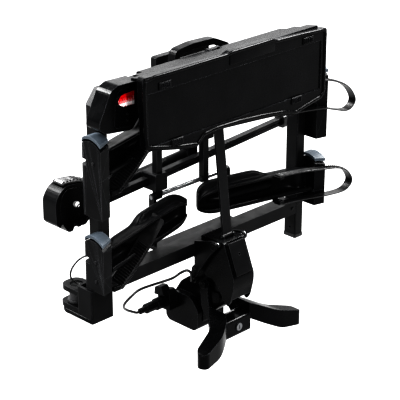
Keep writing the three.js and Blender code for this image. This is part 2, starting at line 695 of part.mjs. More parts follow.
function shortArm() {
  const tube = rod('x', [0, 0], 11, -120, 66, 24);
  const spigot = rod('x', [0, 0], 6, -152, -110, 16);
  return onArm(join(tube, spigot), ARM_B);
}

// Hangs the short arm off the mast's right leg, clear above and behind the long arm.
function shortArmClamp() {
  const collar = box(54, 90, 17, 94, 392, 420);
  const drop = box(58, 88, 66, 94, 324, 395);
  const leg = box(MAST.x - 8.4, MAST.x + 8.4, 22.1, 37.9, 200, 500);
  const slot = onArm(rod('x', [0, 0], 11.3, 0, 66.3, 24), ARM_B);
  return cut(join(collar, drop), leg, slot);
}

function smallClaw() {
  const side = [
    [352, -122.5, 4], [366, -140, 6], [364, -170, 8], [348, -182, 6], [326, -184, 4],
    [308, -176, 4], [306, -164, 3], [316, -158, 3], [308, -150, 3], [310, -134, 4],
    [318, -122.5, 4],
  ];
  const hook = prism('zx', side, 68, 92, 3);
  const bore = onArm(rod('x', [0, 0], 6.3, -156, -100, 16), ARM_B);
  return cut(hook, bore);
}

// ---------------------------------------------------------------- plug, holder and cables
const PLUG = { y: 20, z: 38 };

function plugHolder() {
  const cupShape = prism('yz', [
    [2, 18, 4], [38, 18, 4], [40, 60, 6], [10, 68, 8], [0, 60, 4],
  ], -66, -CUP_HALF - GAP);
  const flap = prism('yz', [
    [6, 60], [36, 56], [34, 76, 6], [14, 80, 6],
  ], -80, -58);
  const socket = rod('x', [PLUG.y, PLUG.z], 11, -70, -52, 20);
  return cut(join(cupShape, flap), socket);
}

function plug() {
  const nose = rod('x', [PLUG.y, PLUG.z], 10.7, -70, -54, 20);
  const barrel = rod('x', [PLUG.y, PLUG.z], 14, -92, -66.3, 12);
  const grip = rod('x', [PLUG.y, PLUG.z], 11.5, -122, -90, 12);
  const tail = rod('x', [PLUG.y, PLUG.z], 7, -140, -120, 12);
  return join(nose, barrel, grip, tail);
}

const GLAND = { y: -44, z: 100 };

const cableGland = () => rod('x', [GLAND.y, GLAND.z], 6, -33, -ARM_HALF - GAP, 16);

function plugCable() {
  return sweep([
    [-140.3, 20, 38], [-149, 20, 38.5], [-163, 20, 46], [-180, 18, 57], [-197, 9, 73],
    [-206, -5, 91], [-201, -17, 108], [-186, -21, 118], [-166, -20, 119], [-136, -20, 117],
    [-110, -24, 117], [-90, -34, 122], [-75, -44, 133], [-62, -51, 137], [-53, -54, 129],
    [-50, -53, 117], [-46.5, -50, 107], [-41, -45, 101], [-34.4, -44, 100],
  ], circle(3, 10), 44);
}

function lampCable() {
  return sweep([
    [-303, POST.back + GAP, 238], [-303, -14, 238], [-306, 0, 236.5], [-314, 9, 231],
    [-327, 13, 222], [-338, 14, 209], [-341, 13, 195], [-336, 8, 184], [-331, 0, 180],
    [-330, -8, 178.3], [-330, -13.7, 178],
  ], circle(2, 8), 26);
}

// ---------------------------------------------------------------- assembly
add('coupling_body', couplingBody(), glossy);
add('ball_clamp_shoe', clampShoe(), steel);
add('housing', housing(), glossy);
add('lever_pin', pin(LEVER, 6, 39), steel);
add('stay_pin_low', stayPin(STAY_LOW), steel);
add('plug_holder', plugHolder(), plastic);
add('plug', plug(), plastic);
add('plug_cable', plugCable(), rubber);
add('cable_gland', cableGland(), rubber);
add('release_pedal', releasePedal(), coated);
add('lever_fork', leverFork(), glossy);
add('lever_grip_right', leverGrip(), glossy);
add('lever_grip_left', mirrorX(leverGrip()), glossy);
add('lock_cylinder', lockCylinder(), steel);
add('stay_bar', stayBar(), coated);

add('crossbeam', crossBeam(), coated);
add('fold_pin', pin(FOLD, 6, 46), steel);
add('hinge_cheek_right', hingeCheek(), coated);
add('hinge_cheek_left', mirrorX(hingeCheek()), coated);
add('post_right', post(), coated);
add('post_left', mirrorX(post()), coated);
add('top_rail', topRail(), coated);
add('foot_left', footLeft(), plastic);
add('foot_right', footRight(), coated);
add('foot_cap', footCap(), rubber);
add('transport_roller', transportRoller(), rollerGrey);
add('carry_handle', carryHandle(), plastic);
add('mast_bracket', mastBracket(), coated);
add('mast_shaft', mastShaft(), steel);
add('lamp_cable', lampCable(), rubber);

const LEVELS = [
  { level: 'lower', rise: 0, blockLow: 190, sag: 0 },
  { level: 'upper', rise: TRAY_RISE, blockLow: 140, sag: 18 },
];
for (const { level, rise, blockLow, sag } of LEVELS) {
  const right = join(mirrorX(tray(TRAY.rightTip, blockLow)), strapAnchors());
  add(`tray_${level}_left`, lift(tray(TRAY.leftTip, blockLow), rise), plastic);
  add(`tray_${level}_right`, lift(right, rise), plastic);
  add(`buckle_${level}_left`, lift(buckle(), rise), buckleGrey);
  add(`buckle_${level}_right`, lift(mirrorX(buckle()), rise), buckleGrey);
  add(`strap_${level}_left`, lift(slantStrap(), rise), rubber);
  add(`strap_${level}_right`, lift(loopStrap(sag), rise), rubber);
}

add('plate_holder', plateHolder(), glossy);
add('stay_pin_top', stayPin(STAY_TOP), steel);
add('light_bar', lightBar(), plastic);
add('lamp_housing_left', lampHousing(), glossy);
const rightLampSpan = box(0, RIGHT_LAMP.x, -120, 0, 400, RIGHT_LAMP.z);
add('lamp_housing_right', mirrorX(lampHousing()).intersect(rightLampSpan), glossy);
add('lamp_lens_left', lampLens(), redLens);
add('lamp_lens_right', mirrorX(lampLens()), redLens);
add('light_pin_right', lightPin(), steel);
add('light_pin_left', mirrorX(lightPin()), steel);

add('mast_frame', mastFrame(), coated);
add('arm_a_bar', longArm(), coated);
add('arm_a_clamp', longArmClamp(), plastic);
add('claw_a', bigClaw(), plastic);
add('claw_a_strap', clawStrap(), buckleGrey);
add('knob_a', longArmKnob(), rubber);
add('arm_b_tube', shortArm(), coated);
add('arm_b_clamp', shortArmClamp(), plastic);
add('claw_b', smallClaw(), plastic);

export default rack;
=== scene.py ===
import json
import math

import bmesh
import bpy
from mathutils import Matrix, Vector

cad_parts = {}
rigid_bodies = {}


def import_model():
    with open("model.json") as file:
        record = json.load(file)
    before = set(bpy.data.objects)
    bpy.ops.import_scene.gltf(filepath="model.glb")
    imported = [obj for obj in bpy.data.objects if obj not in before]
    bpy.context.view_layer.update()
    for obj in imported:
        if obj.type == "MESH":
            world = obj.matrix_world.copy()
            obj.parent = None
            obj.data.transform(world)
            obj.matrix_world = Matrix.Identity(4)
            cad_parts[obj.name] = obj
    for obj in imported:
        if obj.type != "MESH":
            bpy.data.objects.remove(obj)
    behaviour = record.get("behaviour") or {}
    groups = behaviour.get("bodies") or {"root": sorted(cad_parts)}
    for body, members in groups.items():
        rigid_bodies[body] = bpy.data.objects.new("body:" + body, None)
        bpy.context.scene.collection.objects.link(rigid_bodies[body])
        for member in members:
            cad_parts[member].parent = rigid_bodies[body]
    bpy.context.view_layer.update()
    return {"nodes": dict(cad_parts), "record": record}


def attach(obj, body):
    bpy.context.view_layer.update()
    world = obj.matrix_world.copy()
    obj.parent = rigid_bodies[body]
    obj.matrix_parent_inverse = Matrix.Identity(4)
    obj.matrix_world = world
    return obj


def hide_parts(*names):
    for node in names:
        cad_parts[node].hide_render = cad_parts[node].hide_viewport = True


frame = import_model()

MM = 0.001    # the builders below work in millimetres, Blender in metres


# ---------------------------------------------------------------- materials
EDGE_WEAR_AND_HIGHLIGHT_WIDTH = 0.0011    # metres: how wide the band along an edge is that is painted lighter, partly as wear and partly as a painted highlight
GRAIN_DEPTH = 0.0004
SCRATCH_DEPTH = 0.0002
LENS_DEPTH = 0.0008


def nodes_of(name):
    mat = bpy.data.materials.new(name)
    mat.use_nodes = True
    tree = mat.node_tree
    shader = tree.nodes["Principled BSDF"]
    return mat, tree, shader


def noise(tree, scale, detail=4.0, rough=0.55, stretch=(1, 1, 1)):
    coord = tree.nodes.new("ShaderNodeTexCoord")
    mapping = tree.nodes.new("ShaderNodeMapping")
    mapping.inputs["Scale"].default_value = stretch
    tree.links.new(coord.outputs["Object"], mapping.inputs["Vector"])
    tex = tree.nodes.new("ShaderNodeTexNoise")
    tex.inputs["Scale"].default_value = scale
    tex.inputs["Detail"].default_value = detail
    tex.inputs["Roughness"].default_value = rough
    tree.links.new(mapping.outputs["Vector"], tex.inputs["Vector"])
    return tex


def ramp(tree, source, stops):
    node = tree.nodes.new("ShaderNodeValToRGB")
    elements = node.color_ramp.elements
    while len(elements) < len(stops):
        elements.new(0.5)
    for element, (at, colour) in zip(elements, stops):
        element.position = at
        element.color = (*colour, 1.0) if len(colour) == 3 else colour
    tree.links.new(source, node.inputs["Fac"])
    return node


def span(tree, source, low, high, lo_in=0.3, hi_in=0.7):
    node = tree.nodes.new("ShaderNodeMapRange")
    node.inputs["From Min"].default_value = lo_in
    node.inputs["From Max"].default_value = hi_in
    node.inputs["To Min"].default_value = low
    node.inputs["To Max"].default_value = high
    tree.links.new(source, node.inputs["Value"])
    return node


def wear_and_highlight_mask(tree, radius):
    """White on outer edges, black elsewhere: the edge band that is painted lighter, partly as wear and
    partly as a painted highlight.
    """
    bevel = tree.nodes.new("ShaderNodeBevel")
    bevel.samples = 4
    bevel.inputs["Radius"].default_value = radius
    geometry = tree.nodes.new("ShaderNodeNewGeometry")
    dot = tree.nodes.new("ShaderNodeVectorMath")
    dot.operation = "DOT_PRODUCT"
    tree.links.new(bevel.outputs["Normal"], dot.inputs[0])
    tree.links.new(geometry.outputs["Normal"], dot.inputs[1])
    # Edge band: partly wear, partly a painted highlight along every sharp edge.
    wear_and_painted_highlight = span(tree, dot.outputs["Value"], 1.0, 0.0, 0.8, 0.985)
    patchy = noise(tree, 16.0, 2.0)
    some = span(tree, patchy.outputs["Fac"], 0.45, 1.0, 0.42, 0.62)
    both = tree.nodes.new("ShaderNodeMath")
    both.operation = "MULTIPLY"
    tree.links.new(wear_and_painted_highlight.outputs["Result"], both.inputs[0])
    tree.links.new(some.outputs["Result"], both.inputs[1])
    return both.outputs["Value"]


def mix_colour(tree, factor, first, second):
    node = tree.nodes.new("ShaderNodeMix")
    node.data_type = "RGBA"
    tree.links.new(factor, node.inputs["Factor"])
    for socket, value in ((node.inputs["A"], first), (node.inputs["B"], second)):
        if isinstance(value, tuple):
            socket.default_value = (*value, 1.0)
        else:
            tree.links.new(value, socket)
    return node.outputs["Result"]


def moulded(name, dark, light, rough, grain, depth, worn_and_highlight_colour, specular, cell=False):
    """Moulded or coated surface: fine grain, soft colour drift, and edges painted lighter, partly as wear
    and partly as a painted highlight.
    """
    mat, tree, shader = nodes_of(name)
    drift = noise(tree, 14.0, 5.0)
    base = ramp(tree, drift.outputs["Fac"], [(0.35, dark), (0.7, light)])
    # The edge colour mixed in here is partly wear and partly a painted highlight.
    colour = mix_colour(tree, wear_and_highlight_mask(tree, EDGE_WEAR_AND_HIGHLIGHT_WIDTH), base.outputs["Color"], worn_and_highlight_colour)
    tree.links.new(colour, shader.inputs["Base Color"])
    smear = noise(tree, 38.0, 6.0, 0.6)
    tree.links.new(span(tree, smear.outputs["Fac"], rough - 0.06, rough + 0.09).outputs["Result"],
                   shader.inputs["Roughness"])
    if cell:
        fine = tree.nodes.new("ShaderNodeTexVoronoi")
        coord = tree.nodes.new("ShaderNodeTexCoord")
        tree.links.new(coord.outputs["Object"], fine.inputs["Vector"])
        fine.inputs["Scale"].default_value = grain
        height = fine.outputs["Distance"]
    else:
        height = noise(tree, grain, 3.0, 0.5).outputs["Fac"]
    bump = tree.nodes.new("ShaderNodeBump")
    bump.inputs["Strength"].default_value = depth
    bump.inputs["Distance"].default_value = GRAIN_DEPTH
    tree.links.new(height, bump.inputs["Height"])
    tree.links.new(bump.outputs["Normal"], shader.inputs["Normal"])
    shader.inputs["Specular IOR Level"].default_value = specular
    return mat


def metal(name, dark, light, rough, scratch, stretch):
    """Plated metal with fine stretched scratches."""
    mat, tree, shader = nodes_of(name)
    drift = noise(tree, 30.0, 5.0)
    base = ramp(tree, drift.outputs["Fac"], [(0.3, dark), (0.7, light)])
    tree.links.new(base.outputs["Color"], shader.inputs["Base Color"])
    shader.inputs["Metallic"].default_value = 1.0
    lines = noise(tree, scratch, 4.0, 0.6, stretch)
    tree.links.new(span(tree, lines.outputs["Fac"], rough - 0.08, rough + 0.14).outputs["Result"],
                   shader.inputs["Roughness"])
    bump = tree.nodes.new("ShaderNodeBump")
    bump.inputs["Strength"].default_value = 0.25
    bump.inputs["Distance"].default_value = SCRATCH_DEPTH
    tree.links.new(lines.outputs["Fac"], bump.inputs["Height"])
    tree.links.new(bump.outputs["Normal"], shader.inputs["Normal"])
    return mat


def lens_material(name, dark, light, clear):
    """Moulded lens: red prisms, with a band of clear reflector facets across its lower half."""
    mat, tree, shader = nodes_of(name)
    coord = tree.nodes.new("ShaderNodeTexCoord")
    cells = tree.nodes.new("ShaderNodeTexVoronoi")
    cells.distance = "CHEBYCHEV"
    cells.inputs["Scale"].default_value = 260.0
    cells.inputs["Randomness"].default_value = 0.0
    tree.links.new(coord.outputs["Object"], cells.inputs["Vector"])
    red = ramp(tree, cells.outputs["Distance"], [(0.05, light), (0.5, dark)])
    shards = tree.nodes.new("ShaderNodeTexVoronoi")
    shards.inputs["Scale"].default_value = 9.0
    shards.inputs["Randomness"].default_value = 1.0
    tree.links.new(coord.outputs["Generated"], shards.inputs["Vector"])
    apart = tree.nodes.new("ShaderNodeSeparateXYZ")
    tree.links.new(coord.outputs["Generated"], apart.inputs["Vector"])
    lean = tree.nodes.new("ShaderNodeMath")
    lean.operation = "MULTIPLY_ADD"
    lean.inputs[1].default_value = 0.22
    tree.links.new(shards.outputs["Distance"], lean.inputs[0])
    tree.links.new(apart.outputs["Z"], lean.inputs[2])
    band = ramp(tree, lean.outputs["Value"], [
        (0.14, (0.0, 0.0, 0.0)), (0.2, (1.0, 1.0, 1.0)), (0.4, (1.0, 1.0, 1.0)),
        (0.5, (0.05, 0.05, 0.05)), (0.62, (0.35, 0.35, 0.35)), (0.76, (0.0, 0.0, 0.0))])
    both = mix_colour(tree, band.outputs["Color"], red.outputs["Color"], clear)
    tree.links.new(both, shader.inputs["Base Color"])
    bump = tree.nodes.new("ShaderNodeBump")
    bump.inputs["Strength"].default_value = 0.5
    bump.inputs["Distance"].default_value = LENS_DEPTH
    tree.links.new(cells.outputs["Distance"], bump.inputs["Height"])
    tree.links.new(bump.outputs["Normal"], shader.inputs["Normal"])
    smear = noise(tree, 60.0)
    tree.links.new(span(tree, smear.outputs["Fac"], 0.08, 0.2).outputs["Result"],
                   shader.inputs["Roughness"])
    shader.inputs["Coat Weight"].default_value = 0.3
    shader.inputs["Coat Roughness"].default_value = 0.04
    return mat


# The last colour of each moulded finish is its edge colour, partly wear and partly a painted highlight.
MATS = {
    "black_plastic": moulded("moulded_black", (0.0036, 0.0037, 0.004), (0.0062, 0.0063, 0.0067),
                             0.34, 1500.0, 0.04, (0.07, 0.072, 0.076), specular=0.075, cell=True),
    "gloss_plastic": moulded("satin_black", (0.0024, 0.0025, 0.0028), (0.0042, 0.0043, 0.0046),
                             0.25, 900.0, 0.03, (0.08, 0.082, 0.088), specular=0.09),
    "black_coat": moulded("powder_coat", (0.0045, 0.0046, 0.0049), (0.0078, 0.0079, 0.0083),
                          0.36, 700.0, 0.06, (0.085, 0.086, 0.09), specular=0.11),
    "buckle_grey": moulded("buckle_grey", (0.04, 0.049, 0.059), (0.056, 0.067, 0.079),
                           0.46, 1300.0, 0.22, (0.2, 0.22, 0.24), specular=0.2, cell=True),
    "soft_rubber": moulded("soft_rubber", (0.0036, 0.0036, 0.0038), (0.0066, 0.0066, 0.007),
                           0.34, 1100.0, 0.2, (0.05, 0.05, 0.052), specular=0.4),
    "plated_steel": metal("zinc_plate", (0.12, 0.122, 0.126), (0.24, 0.244, 0.25), 0.34, 260.0, (1, 1, 8)),
    "red_lens": lens_material("red_lens", (0.42, 0.002, 0.006), (0.75, 0.012, 0.02), (0.9, 0.86, 0.86)),
    "roller_grey": moulded("nylon_grey", (0.03, 0.03, 0.032), (0.05, 0.05, 0.052),
                           0.42, 900.0, 0.15, (0.09, 0.09, 0.09), specular=0.3),
}

# ---------------------------------------------------------------- the CAD pieces, edges eased
SLOT_OF = {row["node"]: row["material_slot"] for row in frame["record"]["subparts"]}
EDGE_MM = {
    "plate_holder": 1.8, "coupling_body": 2.4, "lever_fork": 1.6, "crossbeam": 1.6,
    "top_rail": 1.6, "lamp_housing_left": 2.2, "lamp_housing_right": 2.2, "foot_left": 2.2,
    "foot_right": 1.2, "carry_handle": 3.0, "claw_a": 2.2, "claw_b": 2.0, "housing": 1.6,
    "lever_grip_right": 4.0, "lever_grip_left": 4.0, "arm_a_clamp": 2.0, "arm_b_clamp": 2.4,
    "stay_bar": 0.8, "release_pedal": 0.9, "knob_a": 2.0,
}
OTHER_EDGE_MM = 0.7
SHARP_ANGLE = 32.0      # degrees: an edge this sharp is rounded
FLAT_ANGLE = 2.5        # degrees: faces this close to flat are merged first
FACE_WEIGHT = 80


def ease(obj, width_mm, segments=2):
    """Merges flat facets, rounds a piece's sharp edges and shades it smoothly."""
    for polygon in obj.data.polygons:
        polygon.use_smooth = True
    clean = obj.modifiers.new("clean", "DECIMATE")
    clean.decimate_type = "DISSOLVE"
    clean.angle_limit = math.radians(FLAT_ANGLE)
    bevel = obj.modifiers.new("edges", "BEVEL")
    bevel.width = width_mm * MM
    bevel.segments = segments
    bevel.limit_method = "ANGLE"
    bevel.angle_limit = math.radians(SHARP_ANGLE)
    bevel.miter_outer = "MITER_ARC"
    bevel.harden_normals = True
    normals = obj.modifiers.new("normals", "WEIGHTED_NORMAL")
    normals.keep_sharp = False
    normals.weight = FACE_WEIGHT


def paint(obj, slot_name):
    if not obj.material_slots:
        obj.data.materials.append(MATS[slot_name])
    for slot in obj.material_slots:
        slot.link = "OBJECT"
        slot.material = MATS[slot_name]


# ---------------------------------------------------------------- building pieces
REPLACED = set()    # CAD nodes that a visual piece stands for


def new_piece(name, shape, slot_name, body, stands_for=(), smooth=True):
    """A piece from (verts, faces), with coordinates in millimetres in the row frame."""
    verts, faces = shape
    mesh = bpy.data.meshes.new(name)
    mesh.from_pydata([[c * MM for c in v] for v in verts], [], faces)
    mesh.validate()
    obj = bpy.data.objects.new(name, mesh)
    bpy.context.collection.objects.link(obj)
    return dress(obj, slot_name, body, stands_for, smooth)


def dress(obj, slot_name, body, stands_for=(), smooth=True):
    """Faces outward, one material, and the body that the piece rides on."""
    work = bmesh.new()
    work.from_mesh(obj.data)
    bmesh.ops.recalc_face_normals(work, faces=work.faces)
    work.to_mesh(obj.data)
    work.free()
    for polygon in obj.data.polygons:
        polygon.use_smooth = smooth
    obj.data.materials.clear()
    obj.data.materials.append(MATS[slot_name])
    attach(obj, body)
    if stands_for:
        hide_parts(*stands_for)
        REPLACED.update(stands_for)
    return obj


def merged(parts):
    """One vertex and face list out of several."""
    verts, faces = [], []
    for part_verts, part_faces in parts:
        start = len(verts)
        verts.extend(part_verts)
        faces.extend([[start + i for i in face] for face in part_faces])
    return verts, faces


def loft(rings, closed=True, caps=True):
    """Skin over rings of equal length."""
    count = len(rings[0])
    verts = [point for ring in rings for point in ring]
    faces = []
    last = count if closed else count - 1
    for r in range(len(rings) - 1):
        for i in range(last):
            k = (i + 1) % count
            a = r * count
            faces.append([a + i, a + k, a + count + k, a + count + i])
    if caps and closed:
        faces.append(list(range(count))[::-1])
        end = (len(rings) - 1) * count
        faces.append(list(range(end, end + count)))
    return verts, faces


CORNER_STEPS = 4


def rounded_box(lo, hi, radius):
    """A box with its twelve edges rounded, made as rings along Z."""
    x0, y0, z0 = lo
    x1, y1, z1 = hi
    radius = min(radius, 0.48 * min(x1 - x0, y1 - y0, z1 - z0))
    rings = []
    steps = CORNER_STEPS
    levels = [(z0 + radius - radius * math.cos(t * math.pi / 2 / steps),
               radius - radius * math.sin(t * math.pi / 2 / steps)) for t in range(steps + 1)]
    corners = [(x1 - radius, y1 - radius, 0), (x0 + radius, y1 - radius, 90),
               (x0 + radius, y0 + radius, 180), (x1 - radius, y0 + radius, 270)]
    levels += [(z0 + z1 - z, inset) for z, inset in reversed(levels)]
    for z, inset in levels:
        reach = radius - inset
        ring = []
        for cx, cy, start in corners:
            for t in range(steps + 1):
                angle = math.radians(start + 90 * t / steps)
                ring.append([cx + reach * math.cos(angle), cy + reach * math.sin(angle), z])
        rings.append(ring)
    return loft(rings)


def lathe(profile, centre, axis, sides):
    """Revolves (radius, along) pairs about an axis through centre."""
    axis = Vector(axis).normalized()
    side = axis.orthogonal().normalized()
    other = axis.cross(side)
    rings = []
    for radius, along in profile:
        ring = []
        for i in range(sides):
            angle = 2 * math.pi * i / sides
            point = (Vector(centre) + axis * along
                     + side * (radius * math.cos(angle)) + other * (radius * math.sin(angle)))
            ring.append(list(point))
        rings.append(ring)
    return loft(rings)


def screw(centre, axis, radius):
    """Button-head screw with a hexagon socket."""
    r = radius
    head = lathe([(r * 0.94, -0.6), (r, 0.0), (r * 0.97, 0.5), (r * 0.8, 1.3), (r * 0.5, 1.8),
                  (r * 0.42, 1.85)], centre, axis, 24)
    socket = lathe([(r * 0.4, 1.2), (r * 0.46, 1.9), (r * 0.38, 1.95), (r * 0.34, 1.25)],
                   centre, axis, 6)
    return merged([head, socket])


def smooth_path(points, steps):
    """Catmull-Rom through the points, evenly enough spaced."""
    pts = [Vector(p) for p in points]
    pts = [pts[0] * 2 - pts[1]] + pts + [pts[-1] * 2 - pts[-2]]
    out = []
    for i in range(1, len(pts) - 2):
        for t in range(steps):
            u = t / steps
            a, b, c, d = pts[i - 1], pts[i], pts[i + 1], pts[i + 2]
            out.append(0.5 * ((2 * b) + (c - a) * u + (2 * a - 5 * b + 4 * c - d) * u * u
                              + (3 * b - a - 3 * c + d) * u ** 3))
    out.append(pts[-2])
    return out


def resample(path, pitch):
    """The same path with points about one pitch apart."""
    lengths = [0.0]
    for a, b in zip(path, path[1:]):
        lengths.append(lengths[-1] + (b - a).length)
    total = lengths[-1]
    count = max(2, round(total / pitch))
    out = []
    k = 0
    for i in range(count + 1):
        want = total * i / count
        while k < len(lengths) - 2 and lengths[k + 1] < want:
            k += 1
        part = (want - lengths[k]) / max(1e-9, lengths[k + 1] - lengths[k])
        out.append(path[k].lerp(path[k + 1], part))
    return out


TOOTH_WAVE = [0.0, 0.33, 0.67, 1.0, 0.67, 0.33]         # one tooth's height along the band
BAND_SPOTS = [-0.5, -0.39, -0.34, 0.34, 0.39, 0.5]      # shares of the band's width
TOOTH_SPOT = 0.34       # the teeth stand between the spots at this share


def along_at(path, i):
    """The path's direction at its point i."""
    return (path[min(i + 1, len(path) - 1)] - path[max(i - 1, 0)]).normalized()


def toothed_band(points, outward, width_dir, width, thick, tooth, pitch, toothed):
    """A ratchet strap: flat band with a ladder of teeth across its outer face.
    outward gives the outer side's direction at a point, and toothed the share that has teeth."""
    path = resample(smooth_path(points, 24), pitch / len(TOOTH_WAVE))
    across = Vector(width_dir).normalized()
    rings = []
    for i, at in enumerate(path):
        normal = along_at(path, i).cross(across).normalized()
        if normal.dot(outward(at)) < 0:
            normal = -normal
        share = i / (len(path) - 1)
        wave = TOOTH_WAVE[i % len(TOOTH_WAVE)]
        if not toothed[0] <= share <= toothed[1]:
            wave = 0.0
        ease_end = min(1.0, share * 40, (1 - share) * 40)
        half = width * (0.82 + 0.18 * ease_end)
        top = [at + across * (half * q) + normal * (thick / 2
               + (tooth * wave if abs(q) <= TOOTH_SPOT else 0.0)) for q in BAND_SPOTS]
        under = [at + across * (half * q) - normal * (thick / 2) for q in reversed(BAND_SPOTS)]
        rings.append([list(v) for v in top + under])
    return loft(rings)


def tube(points, radius, sides, step):
    """A round rod along a smooth path."""
    path = resample(smooth_path(points, 16), step)
    rings = []
    side = None
    for i, at in enumerate(path):
        along = along_at(path, i)
        side = along.orthogonal().normalized() if side is None else (
            side - along * side.dot(along)).normalized()
        other = along.cross(side)
        rings.append([list(at + side * (radius * math.cos(2 * math.pi * k / sides))
                           + other * (radius * math.sin(2 * math.pi * k / sides)))
                      for k in range(sides)])
    return loft(rings)


# ---------------------------------------------------------------- wheel trays
TRAY = {"outer": 345.0, "front": -97.0, "slope": 0.25, "depth": 46.0, "low": 226.0, "high": 288.0}
RISE = {"lower": 0.0, "upper": 216.0}
SIGN = {"left": -1, "right": 1}
TIP = 17.8              # how far each tray stops short of the rack's centre
BOW = 60.0              # length of the rounded end
SHEET_END = 286.0       # even stations up to here, then closer ones into the end block
BLEND_FROM, BLEND_RUN = 284.0, 8.0
BLOCK_CUT = 309.0       # the CAD tray is kept beyond this
BLOCK_BACK = -58.2      # Y of the trough's back where it meets the end block
WALL = 2.8
HUMP_FROM, HUMP_RUN, HUMP_TALL = 208.0, 34.0, 15.0
HUMP_SHARE, HUMP_BLEND = 0.34, 0.16
# (share of the depth, share of the height) round the trough's C section, from lip to lip
SECTION = [
    (0.05, 0.88), (-0.01, 0.89), (-0.05, 0.92), (-0.05, 0.985), (0.0, 1.0), (0.12, 1.0),
    (0.2, 0.985), (0.34, 0.985), (0.4, 0.985), (0.5, 0.985), (0.72, 0.97), (0.88, 0.91),
    (0.97, 0.79), (1.0, 0.62), (0.99, 0.5), (1.0, 0.38), (0.97, 0.21), (0.88, 0.09),
    (0.72, 0.03), (0.5, 0.015), (0.28, 0.0), (0.14, 0.01), (0.04, 0.04), (0.0, 0.09),
    (0.0, 0.14), (0.04, 0.19), (0.12, 0.22),
]


def front_at(reach):
    """Y of the tray's front at a distance from the rack's centre."""
    return TRAY["front"] + TRAY["slope"] * (TRAY["outer"] - reach)


def hump_at(reach, share):
    """How far the trough's back half stands up towards the middle of the rack."""
    along = min(1.0, max(0.0, (HUMP_FROM - reach) / HUMP_RUN))
    across = min(1.0, max(0.0, (share - HUMP_SHARE) / HUMP_BLEND))
    return HUMP_TALL * along * along * (3 - 2 * along) * across * across * (3 - 2 * across)


def tray_sheet(side, level):
    """The moulded trough: a C section swept from the end block to a rounded bow."""
    sign = SIGN[side]
    rise = RISE[level]
    stations = [TIP + BOW * (1 - math.cos(math.radians(a))) for a in range(6, 91, 6)]
    stations += [TIP + BOW + (SHEET_END - TIP - BOW) * t / 16 for t in range(1, 17)]
    stations += [290.0, 296.0, 304.0, 312.0]
    rings = []
    for reach in stations:
        bow = max(0.0, (TIP + BOW - reach) / BOW)
        depth = TRAY["depth"] * math.sqrt(max(0.0, 1 - bow ** 2.2)) - 2.0
        if reach > BLEND_FROM:
            deep = BLOCK_BACK - front_at(reach)
            blend = min(1.0, (reach - BLEND_FROM) / BLEND_RUN)
            depth = depth * (1 - blend) + min(depth, deep) * blend
        pinch = 0.5 * (TRAY["high"] - TRAY["low"]) * bow ** 3
        swell = 3.0 * math.sin(math.pi * min(1.0, max(0.0, (reach - TIP) / 260.0)))
        low = TRAY["low"] + pinch * 0.5 + rise + 0.6
        high = TRAY["high"] - pinch * 0.62 + rise - 0.6 + swell * 0.5
        front = front_at(reach) + 6.0 * bow ** 3
        rings.append([[sign * reach, front + q * max(depth, 1.5),
                       low + (high - low) * w + (hump_at(reach, q) if w > 0.6 else 0.0)]
                      for q, w in SECTION])
    return loft(rings, closed=False, caps=False)


def block_mesh(name, cut_reach, sign):
    """The tray's end block, kept from the CAD tray beyond a plane."""
    work = bmesh.new()
    work.from_mesh(frame["nodes"][name].data)
    plane = Vector((sign * cut_reach * MM, 0, 0))
    geom = work.verts[:] + work.edges[:] + work.faces[:]
    bmesh.ops.bisect_plane(work, geom=geom, plane_co=plane, plane_no=(-sign, 0, 0),
                           clear_outer=True, clear_inner=False)
    rim = [e for e in work.edges if e.is_boundary]
    bmesh.ops.holes_fill(work, edges=rim, sides=0)
    mesh = bpy.data.meshes.new(name + "_block")
    work.to_mesh(mesh)
    work.free()
    return mesh


def link(mesh, name):
    obj = bpy.data.objects.new(name, mesh)
    bpy.context.collection.objects.link(obj)
    return obj


def build_tray(side, level):
    sign = SIGN[side]
    rise = RISE[level]
    node = f"tray_{level}_{side}"
    block = link(block_mesh(node, BLOCK_CUT, sign), f"end_block_{level}_{side}")
    dress(block, "black_plastic", node, (node,))
    ease(block, 2.6, segments=3)

    sheet = new_piece(f"trough_{level}_{side}", tray_sheet(side, level), "black_plastic", node)
    solid = sheet.modifiers.new("wall", "SOLIDIFY")
    solid.thickness = WALL * MM
    solid.offset = -1.0 if sheet.data.polygons[200].normal.y > 0 else 1.0
    soft = sheet.modifiers.new("soft", "SUBSURF")
    soft.levels = 1
    soft.render_levels = 1

    # Raised tongue along the trough's floor, with a rounded nose at each end.
    rings = []
    start, end = TIP + 44.0, 236.0
    count = 26
    for i in range(count + 1):
        t = i / count
        reach = start + (end - start) * t
        nose = min(1.0, math.sin(math.pi * min(1.0, t * 5) / 2), math.sin(
            math.pi * min(1.0, (1 - t) * 9) / 2)) ** 0.6
        back = front_at(reach) + TRAY["depth"] - 4.2
        tall = 9.5 + 3.5 * t
        centre = TRAY["low"] + 22.0 + 5.0 * t + rise
        ring = []
        for a in range(0, 181, 15):
            angle = math.radians(a)
            ring.append([sign * reach, back - 17.0 * nose * math.sin(angle) ** 0.7,
                         centre + tall * (0.35 + 0.65 * nose) * math.cos(angle)])
        rings.append(ring)
    new_piece(f"tongue_{level}_{side}", loft(rings), "black_plastic", node)

    # Ribs that stiffen the upper lip, and the screws into the end block, of which the upper
    # trays have only the higher one.
    extra = []
    for reach in (250.0, 262.0, 274.0, 286.0):
        front = front_at(reach)
        extra.append(rounded_box((sign * reach - 1.1, front + 3.0, 279.0 + rise),
                                 (sign * reach + 1.1, front + 22.0, 286.6 + rise), 0.8))
    for height in (214.0, 258.0) if level == "lower" else (258.0,):
        extra.append(screw((sign * TRAY["outer"], -74.0, height + rise), (sign, 0, 0), 4.2))
    new_piece(f"tray_trim_{level}_{side}", merged(extra), "black_coat", node)


# ---------------------------------------------------------------- wheel straps
STRAP_LEAN = 62.0    # degrees that the slanted strap is turned about its own line


